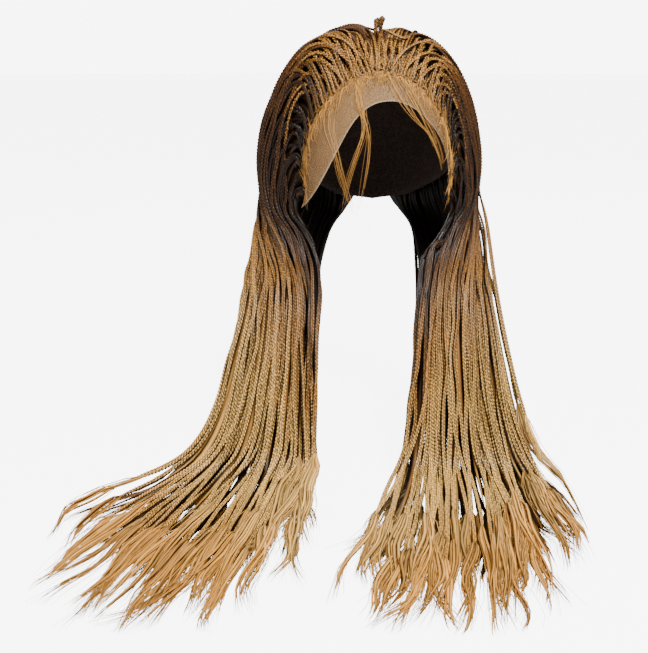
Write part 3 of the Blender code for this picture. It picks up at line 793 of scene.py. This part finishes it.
def throughLayer(layer, rng, v, begin, level):
    # Way of a braid in the layer; v is a number, or rows and the places at them
    rows, places = v if isinstance(v, tuple) else ((0.0, layer["last"]), (v, v))
    s = np.linspace(begin, endOf(layer, places[-1], rng), lay["points"])
    v = smoother(np.interp(s, rows, places), 24)
    passed = rng.normal(0, 1, len(lay["crossing"])) * lay["crossing"]
    passed = smoother(np.interp(s, (0, *lay["crossingRows"]), [0, *passed]), 16)
    v = np.clip(v + passed / lay["braids"], lay["margin"], 1 - lay["margin"])
    centre, out, width = onLayer(layer, v, s)
    crowd = np.clip((lay["crowded"] - width / lay["braids"]) / lay["crowdedBy"], 0, 1)
    level = np.clip(level + smoother(wander(rng, s, *lay["levelDrift"]), 10), *lay["levelRange"])
    level = lay["openLevel"] + (level - lay["openLevel"]) * smoother(crowd, 8)
    way = centre + out * (np.maximum(layerThick(layer, s) / 2 - lay["spare"], 0.0) * level)[:, None]
    if not layer["front"] and begin == 0.0:  # the roots meet in the middle of the back
        way[:, 0] *= np.interp(lengthAlong(way), [0, lay["middle"]], [rng.uniform(0.05, 0.35), 1.0])
    near = np.interp(lengthAlong(way), *lay["nearHead"])[:, None]
    way = way * (1 - near) + ontoHead(way, cap["wall"] + lay["rootLift"]) * near
    if begin == 0.0 and layer["front"]:  # the root starts in front of the hairline
        onward = way[3] - way[0]
        first = way[0] - onward / np.linalg.norm(onward) * rng.uniform(*lay["frontStart"])
        way = np.vstack([ontoHead(first, lay["frontLift"]), way[1:]])
    return way, *turnedAcross(way, out)


def makeBundle(name, seed, loose):
    layer, look = layers[name], bundleLook[name.split()[1]]
    rng = np.random.default_rng(seed)
    hair = Hair(name.replace(" ", "_") + "_plaits")
    count, levels = lay["braids"], lay["levels"]
    rows = [((n + 0.5 + rng.normal(0, lay["jitter"])) / count, 0.0, levels[n % len(levels)])
            for n in range(count)]
    for n in range(look["second"]):
        v = (n + 0.7 + rng.normal(0, 0.15)) / (look["second"] + 0.6)
        rows.append((v, rng.uniform(*look["secondRows"]), lay["secondLevel"]))
    for v, begin, level in rows:
        way, out, across = throughLayer(layer, rng, v, begin, level)
        run = lengthAlong(way)
        ahead = look["ahead"][0] * max(1 - v * look["ahead"][1], 0)
        # Painted shade: darker on the inner side near the neck and where a braid lies low in its layer
        inner = np.clip(look["inner"][0] - v * look["inner"][1], 0, 1) * look["inner"][2]
        low = np.clip(shades["lowUnder"] - level, 0, 1) * shades["lowMost"]
        paintedShading = inner * np.interp(run + ahead * 1.2, *shades["inner"]) * shades["innerMost"]
        paintedShading = paintedShading + low * np.interp(run, *shades["low"])
        layBraid(hair, loose, rng, way, out, across, rng.normal(0, 0.8), np.clip(paintedShading, 0, 1), ahead)
    obj = hair.build(look["material"])
    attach(obj, "root")
    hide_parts(name.replace(" ", "_") + "_braids")
    return hair.count


crown = {
    "braids": 7,  # rooted in the middle of the hairline, and laid back over the top
    "first": {"left": 0.0003, "right": 0.0030},  # how far the first is from the middle
    "apart": 0.0036,
    "ways": [(60, 1.0, 0.0050), (73, 1.15, 0.0085), (90, 1.5, 0.0100)],  # arc over the head, spread, lift
    "place": (0.86, 0.045),  # place in the rear layer of the first, and the step to the next
    "joins": (2.3, 0.12),  # row at which the first joins it, and the step to the next
    "level": 1.15,
}
sweep = {  # braids that cross the side of the head and hide the lower roots
    "braids": 8,
    "from": (0.50, 0.99),
    "to": (0.10, 0.52),
    "rows": (0.3, 3.4),
    "level": 1.5,
}
# The darkness of these locks is painted shade, from shades['under']
under = {  # flat dark locks within each layer, behind the braids
    "locks": 20,
    "begins": (0.15, 1.6),
    "ends": (12.0, 14.6),
    "level": -0.35,
    "wide": 0.0100,
    "deep": 0.0009,
    "share": 0.72,  # of its part of the layer's width
    "lift": 0.0008,
    "steps": 54,
}


def overHead(arc, x, lift):
    # Point over the middle of the head: arc 0 at the face, 90 on top and 180 at the back
    point = headPoint(0.0 if arc < 90 else 180.0, arc if arc < 90 else 180.0 - arc, lift)
    point[0] = x
    return keepOffHead(point[None], [lift])[0]


def outOf(layer, v, way):
    # Outward directions of the layer at the nearest points of that line
    s = np.linspace(0, layer["last"], 120)
    places, out, _ = onLayer(layer, np.full(len(s), v), s)
    near = np.argmin(np.linalg.norm(way[:, None] - places[None], axis=2), axis=1)
    return out[near]


def makeCrown(side, loose):
    # Braids that lie over the top, and braids that sweep over the side
    rng = np.random.default_rng(41 if side == "left" else 42)
    layer = layers[side + " rear"]
    hair = Hair(f"{side}_crown_plaits")
    for n in range(crown["braids"]):
        x = layer["sign"] * (crown["apart"] * n + crown["first"][side]) + rng.normal(0, 0.0005)
        v = crown["place"][0] - crown["place"][1] * n
        arc = cap["hairlineTop"] - 1.5 + rng.uniform(0.0, 1.5 + 1.5 * n)
        points = [overHead(arc, x, 0.0016)]
        for place, spread, lift in crown["ways"]:
            aside = x * spread + rng.normal(0, 0.0022)
            arc = place + rng.normal(0, 2)
            points.append(overHead(arc, aside, cap["wall"] + lift * rng.uniform(0.8, 1.15)))
        s = np.arange(crown["joins"][0] + crown["joins"][1] * n, endOf(layer, v, rng), 0.5)
        centre, out, _ = onLayer(layer, np.full(len(s), v), s)
        points += list(centre + out * (layerThick(layer, s) / 2 * crown["level"])[:, None])
        way = smoothWay(points, np.linspace(0, len(points) - 1, lay["points"]))
        out, across = turnedAcross(way, outOf(layer, v, way))
        # Painted shade along the braid, darkest about 0.2 m from its root
        paintedShading = np.interp(lengthAlong(way), *shades["crown"])
        layBraid(hair, loose, rng, way, out, across, rng.normal(0.3, 0.7), paintedShading)
    layer = layers[side + " front"]
    for n in range(sweep["braids"]):
        share = (n + 0.5 + rng.normal(0, 0.2)) / sweep["braids"]
        places = [np.interp(share, [0, 1], sweep[end]) for end in ("from", "to")]
        begin = rng.uniform(0.0, 0.35)
        v = (begin, *sweep["rows"]), (places[0], *places)
        way, out, across = throughLayer(layer, rng, v, begin, sweep["level"])
        # Painted shade where the braid crosses the side of the head
        paintedShading = np.interp(lengthAlong(way), *shades["sweep"])
        layBraid(hair, loose, rng, way, out, across, rng.normal(0.1, 0.8), paintedShading)
    obj = hair.build(hairFront)
    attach(obj, "root")
    return hair.count


def makeUnder(name, seed):
    rng = np.random.default_rng(seed)
    layer = layers[name]
    hair = Hair(name.replace(" ", "_") + "_under_hair")
    steps, locks = np.arange(under["steps"]), under["locks"]
    for n in range(locks):
        v = (n + 0.5 + rng.normal(0, 0.1)) / locks
        s = np.linspace(rng.uniform(*under["begins"]), rng.uniform(*under["ends"]), len(steps))
        drift = smoother(wander(rng, s, 0.25, 2.5), 6) / locks
        centre, out, width = onLayer(layer, np.clip(v + drift, 0.02, 0.98), s)
        way = centre + out * (layerThick(layer, s) / 2 * under["level"])[:, None]
        near = np.interp(steps, [0, 1, 6], [1.0, 0.8, 0.0])[:, None]
        way = way * (1 - near) + ontoHead(way, cap["wall"] + under["lift"]) * near
        out, across = turnedAcross(way, out)
        wide = np.minimum(width / locks * under["share"], under["wide"])
        wide = wide * np.interp(steps, [0, 3, len(s) - 14, len(s) - 1], [0.5, 1.0, 1.0, 0.05])
        deep = np.minimum(under["deep"], wide)
        run = lengthAlong(way)
        tones = rng.normal(0, 0.5), rng.normal(0, 0.5)
        # Painted shade: nearly black near the root, lighter further down
        hair.tube(way, across, out, wide, deep, 4, run, *tones, np.interp(run, *shades["under"]))
    obj = hair.build(hairRearShaded)
    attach(obj, "root")
    return hair.count


looseEnds = {side: Hair(f"{side}_loose_ends", 8) for side in ("left", "right")}
triangles = 0
for n, name in enumerate(layers):
    triangles += makeBundle(name, 11 + n, looseEnds[name.split()[0]])
    triangles += makeUnder(name, 50 + n)
for side, hair in looseEnds.items():
    triangles += makeCrown(side, hair)
    obj = hair.build(looseHair)
    triangles += hair.count
    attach(obj, "root")
print(f"bundles made, {triangles} triangles")


# Short hair along the hairline and loose wisps in front of the face

fuzz = {
    "hairs": 1100,
    "reach": 87.0,
    "length": (0.008, 0.028),
    "down": 0.6,  # share of them that point to the face
    "rise": {True: (0.0008, 0.0, 0.16), False: (0.0010, 0.1, 0.35)},  # lift, and slopes, by down or not
    "perDegree": {"climb": 0.10, "turn": 0.09},  # radii by which lengths turn into angles
    "wide": 0.00036,
    "steps": 4,
}
wisps = {  # turn and climb of each wisp from its root to its tip
    "left_inner": [(-24, 44), (-20, 40), (-21, 31), (-12, 23), (-8, 15), (-9, 4), (-12, -10), (-16, -22)],
    "left_outer": [(-48, 36), (-42, 32), (-42, 19), (-34, 12), (-29, 2), (-23, -10), (-16, -22)],
    "left_crossing": [(-22, 42), (-18, 37), (-13, 27), (-10, 17), (-17, 5), (-23, -10), (-26, -22)],
    "right_inner": [(8, 49), (10, 44), (16, 34), (25, 22), (36, 15), (40, 7), (44, -3)],
    "right_outer": [(24, 45), (24, 38), (31, 27), (36, 18), (41, 9), (43, 1)],
}
wisp = {"hairs": 8, "spread": 0.0030, "wide": 0.00034, "rise": (0.0012, 0.0016, 0.0080), "steps": 16}


def makeFuzz():
    rng = np.random.default_rng(61)
    hair = Hair("hairline_fuzz", 16)
    t = np.linspace(0, 1, fuzz["steps"] + 1)
    for _ in range(fuzz["hairs"]):
        turn, climb = hairline(rng.uniform(-fuzz["reach"], fuzz["reach"]))
        turn, climb = turn + rng.normal(0, 1.0), climb + rng.normal(0.5, 1.6)
        length = rng.uniform(*fuzz["length"])
        down = rng.random() < fuzz["down"]
        bend = radians(-90 if down else 90) + rng.normal(0, 0.75) + rng.normal(0, 1.0) * t
        dClimb = np.degrees(np.cumsum(np.sin(bend)) / len(t) * length / fuzz["perDegree"]["climb"])
        dTurn = np.degrees(np.cumsum(np.cos(bend)) / len(t) * length / fuzz["perDegree"]["turn"])
        lift, *slopes = fuzz["rise"][down]
        way = headPoint(turn + dTurn, climb + dClimb, lift + rng.uniform(*slopes) * length * t)
        out, across = turnedAcross(way, way - headMiddle)
        wide = fuzz["wide"] * (1.1 - t)
        hair.tube(way, across, out, wide, wide, 3, 0.02 * t, rng.normal(0, 1), rng.normal(0, 1), 0.0)
    obj = hair.build(babyHair)
    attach(obj, "root")


def makeWisps():
    rng = np.random.default_rng(62)
    hair = Hair("face_wisps", 4)
    for line in wisps.values():
        turn, climb = np.array(line, float).T
        lift = np.interp(np.arange(len(line)), [0, 2, len(line) - 1], wisp["rise"])
        points = headPoint(turn, climb, lift)
        for _ in range(wisp["hairs"]):
            marks = np.linspace(0, (len(line) - 1) * rng.uniform(0.7, 1.0), wisp["steps"])
            way = smoothWay(points, marks)
            out, across = turnedAcross(way, way - headMiddle)
            t = marks / (len(line) - 1)
            aside = rng.normal(0, wisp["spread"]) * (1 - 0.6 * t)
            aside += rng.normal(0, 0.5) * wisp["spread"] * np.sin(2 * pi * t)
            way = way + across * aside[:, None] + out * (np.abs(rng.normal(0, 0.002)) * t)[:, None]
            wide = wisp["wide"] * (1.0 - 0.7 * t)
            hair.tube(way, across, out, wide, wide, 3, 0.02 + 0 * t, 0.0, rng.normal(0, 0.7), 0.0)
    obj = hair.build(babyHair)
    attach(obj, "root")


babyHair = hairMaterial("babyHair", [toLinear(204, 148, 72)] * 5, 0.28, 0.6, 300.0, 0.45)
makeFuzz()
makeWisps()
print("fuzz and wisps made")


# The single braid that strays, and the two short loops on the crown

stray = {
    "root": 72.0,
    "radius": 0.0025,
    "tone": 0.6,
    "over": (1.0, 6.2, 0.4),
    "line": (0.93, 0.56),
    "lift": -0.0010,
    "way": [(0.572, 0.060, 0.175), (0.580, 0.135, 0.285), (0.600, 0.215, 0.420), (0.642, 0.285, 0.570),
            (0.700, 0.325, 0.720), (0.768, 0.358, 0.825), (0.825, 0.380, 0.890)],
    "loose": 0.045,
    "spread": 0.0016,
    "sweep": 0.002,
}
loops = {
    "crown_loop_left": {"climb": 81.0, "lean": -0.0020},
    "crown_loop_right": {"climb": 89.0, "lean": 0.0060},
    "height": 0.0200,
    "width": 0.0044,
    "tone": 0.4,
    "along": 0.03,  # where their colour starts
}


def makeStray():
    rng = np.random.default_rng(21)
    layer = layers["right front"]
    wall, thick = cap["wall"], bundle["layer"]
    points = [headPoint(0.0, stray["root"], wall + lift) for lift in (cap["gap"], thick / 2, 1.5 * thick)]
    for s in np.arange(*stray["over"]):
        v = np.interp(s, stray["over"][:2], stray["line"])
        centre, out, _, _ = layerFrame(layer, v, np.array([s]))
        lift = layerThick(layer, s) / 2 + cap["gap"] + stray["lift"] + stray["radius"]
        points.append(centre[0] + out[0] * lift)
    points += [hangPoint("right", 1, shares) for shares in stray["way"]]
    way = smoothWay(points, np.linspace(0, len(points) - 1, 300))
    out, across = turnedAcross(way, outOf(layer, stray["line"][1], way))
    run = lengthAlong(way)
    cut = np.searchsorted(run, run[-1] - stray["loose"])
    hair = Hair("stray_plait")
    plait(hair, rng, way[:cut + 1], out[:cut + 1], across[:cut + 1], stray["tone"], 0.0)
    cut -= 2
    tuft(hair, rng, way[cut:], out[cut:], across[cut:], stray["tone"], run[cut], stray["spread"],
         sweep=stray["sweep"])
    obj = hair.build(hairFront)
    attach(obj, "root")
    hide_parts("stray_braid_right")


def makeLoop(name):
    rng = np.random.default_rng(31)
    look = loops[name]
    foot = headPoint(0.0, look["climb"], cap["wall"] + cap["gap"])
    t = np.linspace(0, 1, 60)
    rise = np.sin(pi * t) ** 0.6
    aside = -loops["width"] / 2 * np.cos(pi * t) + look["lean"] * rise ** 3
    way = foot + np.stack([aside, 0 * t, loops["height"] * rise], axis=1)
    out, across = turnedAcross(way, np.tile([0.0, -1.0, 0.15], (len(way), 1)))
    hair = Hair(name + "_plait")
    plait(hair, rng, way, out, across, loops["tone"], 0.0, loops["along"], 1.0, 1.0)
    obj = hair.build(hairFront)
    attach(obj, "root")
    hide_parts(name)


makeStray()
makeLoop("crown_loop_left")
makeLoop("crown_loop_right")
print("stray braid and crown loops made")


# Cap: a close stretch net

def makeCap():
    # Rings from the rim up to the top, built in a fixed order, so that each run gives the same mesh
    columns, rings = cap["columns"], cap["rings"]
    rimTurns, rimClimbs = zip((cap["earTurn"], cap["hairlineEar"]), *cap["rim"])
    bm = bmesh.new()
    rows = []
    for ring in range(rings):
        row = []
        for around in np.linspace(-180, 180, columns, endpoint=False):
            if abs(around) <= 90:
                turn, rim = hairline(around)
            else:
                turn = cap["earTurn"] + (180 - cap["earTurn"]) * (abs(around) - 90) / 90
                rim = float(np.interp(turn, rimTurns, rimClimbs))
                turn = turn if around > 0 else -turn
            row.append(bm.verts.new(headPoint(turn, 90 + (rim - 90) * (1 - ring / rings))))
        rows.append(row)
    top = bm.verts.new(headPoint(0.0, 90.0))
    for k in range(columns):
        after = (k + 1) % columns
        for low, high in zip(rows, rows[1:]):
            bm.faces.new((low[k], low[after], high[after], high[k]))
        bm.faces.new((rows[-1][k], rows[-1][after], top))
    obj = fromBm("inner_cap", bm)
    giveWall(obj, cap["wall"], even=True)
    return obj


def capMaterial():
    material, tree, shader = newMaterial("capNet", 0.85)
    net = rampNode(tree, netNode(tree, 330.0, 0.9), 0.05, 0.22, 1.0, 0.0)
    colour = mixNode(tree, net, toLinear(24, 15, 10), toLinear(52, 34, 22))
    tree.links.new(colour, shader.inputs["Base Color"])
    tree.links.new(bumpNode(tree, net, 0.5, 0.0006), shader.inputs["Normal"])
    return material


capPiece = makeCap()
capPiece.data.materials.append(capMaterial())
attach(capPiece, "root")
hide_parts("cap")


# Lace front: a sheer sheet from under the hairline to its cut edge

lace = {
    "wall": 0.0004,
    "flap": 0.015,
    "ends": 86.0,
    "seam": 0.0004,
    "columns": 150,
    "rows": 40,
    "edge": [(-61, -18, 0.9), (-47, -13, 1.0), (-36, -2, 0.7), (-28, 10, 0.4), (-20, 23, 0.1), (-8, 31, 0.0),
             (8, 33, 0.0), (22, 31, 0.0), (35, 25, 0.0), (47, 17, 0.0), (58, 6, 0.0), (66, -9, 0.0)],
    "cut": (0.215, 0.110),  # flat size of the cut piece
}


def lacePoint(x, down):
    # x runs from -1 to 1 along the hairline, down from 0 at it to 1 at the cut edge
    turn, climb = hairline(x * lace["ends"])
    top = headPoint(turn, climb)
    cut = smoothWay(lace["edge"], (x + 1) / 2 * (len(lace["edge"]) - 1))
    way = headPoint(cut[:, 0], cut[:, 1]) - top
    start = 2 * lace["seam"] / np.linalg.norm(way, axis=1, keepdims=True)
    point = top + way * (start + (1 - start) * down[:, None])
    onSkin = keepOffHead(point, np.zeros(len(point)))
    out = onSkin - headMiddle
    out /= np.linalg.norm(out, axis=1, keepdims=True)
    return onSkin + out * (cut[:, 2] * lace["flap"] * down ** 2)[:, None]


def makeLace():
    bm = bmesh.new()
    bmesh.ops.create_grid(bm, x_segments=lace["columns"], y_segments=lace["rows"], size=1.0)
    bm.verts.ensure_lookup_table()
    flat = np.array([v.co for v in bm.verts])
    down = (1 - flat[:, 1]) / 2
    places = lacePoint(flat[:, 0], down)
    edge = bm.verts.layers.float.new("edge")
    for v, p, d in zip(bm.verts, places, down):
        v.co = p
        v[edge] = d
    bmesh.ops.recalc_face_normals(bm, faces=bm.faces[:])
    if sum(f.normal.dot(f.calc_center_median()) for f in bm.faces) < 0:
        bmesh.ops.reverse_faces(bm, faces=bm.faces[:])
    area = sum(f.calc_area() for f in bm.faces)
    obj = fromBm("lace_sheet", bm)
    giveWall(obj, lace["wall"], even=False)
    print(f"lace area {area:.5f} square metres")
    return obj, area


def laceMaterial():
    material, tree, shader = newMaterial("laceNet", 0.6)
    net = rampNode(tree, netNode(tree, 620.0, 0.85), 0.04, 0.20, 0.32, 0.08)
    edge = attributeNode(tree, "edge")
    # Along the cut edge the lace is denser, a real hem, and lighter in colour, a painted highlight
    cut = rampNode(tree, edge, 0.94, 1.0)
    root = rampNode(tree, edge, 0.0, 0.25, 0.22, 0.0)
    alpha = mathNode(tree, "ADD", net, mathNode(tree, "MULTIPLY", cut, 0.12))
    alpha = mathNode(tree, "ADD", alpha, root, clamp=True)
    colour = mixNode(tree, cut, toLinear(222, 172, 116), toLinear(240, 208, 164))
    tree.links.new(colour, shader.inputs["Base Color"])
    tree.links.new(alpha, shader.inputs["Alpha"])
    return material


lacePiece, laceArea = makeLace()
lacePiece.data.materials.append(laceMaterial())
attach(lacePiece, "root")
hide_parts("lace_front")
print("cap and lace made")


# Studio: pale floor, soft lights and the camera

studio = {
    "floorRadius": 9.0,
    "floorColour": (0.80, 0.80, 0.80, 1.0),
    "glow": 6.5,  # what the camera sees of the backdrop beyond its own shade
    "worldStrength": 0.28,
    "worldGlow": 7.6,
    "lights": [  # name, place, size, power
        ("key", (0.35, -1.2, 1.35), 0.5, 62.0),
        ("fill", (-1.1, -1.4, 0.6), 0.9, 7.0),
        ("back", (0.3, 1.6, 1.1), 1.2, 12.0),
    ],
    "target": (-0.03, -0.1, -0.16),
}
view = {
    "place": (-0.052, -1.15, 0.018),
    "down": 14.9,  # degrees below the horizontal
    "focal": 1150.0,  # pixels of the 653 high picture
    "tall": 653.0,
    "sensor": 36.0,
}


def makeStudio():
    bm = bmesh.new()
    bmesh.ops.create_circle(bm, cap_ends=True, segments=96, radius=studio["floorRadius"])
    bmesh.ops.translate(bm, verts=bm.verts[:], vec=(0, 0, floorLevel))
    floor = fromBm("floor", bm)
    pale, tree, shader = newMaterial("paleFloor", 0.9)
    shader.inputs["Base Color"].default_value = studio["floorColour"]
    seen = newNode(tree, "LightPath").outputs["Is Camera Ray"]
    glow = newNode(tree, "Emission", {"Strength": mathNode(tree, "MULTIPLY", seen, studio["glow"])})
    both = newNode(tree, "AddShader", {0: shader.outputs[0], 1: glow.outputs[0]})
    tree.links.new(both.outputs[0], tree.nodes["Material Output"].inputs["Surface"])
    floor.data.materials.append(pale)
    world = bpy.data.worlds.new("studio")
    scene.world = world
    world.use_nodes = True
    tree = world.node_tree
    seen = newNode(tree, "LightPath").outputs["Is Camera Ray"]
    more = studio["worldGlow"] - studio["worldStrength"]
    level = mathNode(tree, "MULTIPLY_ADD", seen, more, studio["worldStrength"])
    background = tree.nodes["Background"]
    background.inputs["Color"].default_value = (1.0, 1.0, 1.0, 1.0)
    tree.links.new(level, background.inputs["Strength"])
    target = np.array(studio["target"])
    for name, place, size, power in studio["lights"]:
        light = bpy.data.lights.new(name, "AREA")
        light.energy = power
        light.size = size
        lamp = bpy.data.objects.new(name, light)
        lamp.location = place
        lamp.rotation_euler = Vector(target - np.array(place)).to_track_quat("-Z", "Y").to_euler()
        scene.collection.objects.link(lamp)
    camera = bpy.data.cameras.new("camera")
    camera.lens = view["focal"] / view["tall"] * view["sensor"]
    camera.sensor_width = view["sensor"]
    camera.clip_start = 0.01
    camera.clip_end = 100.0
    eye = bpy.data.objects.new("camera", camera)
    eye.location = view["place"]
    eye.rotation_euler = (radians(90 - view["down"]), 0, 0)
    scene.collection.objects.link(eye)
    scene.camera = eye


makeStudio()
print("studio made")
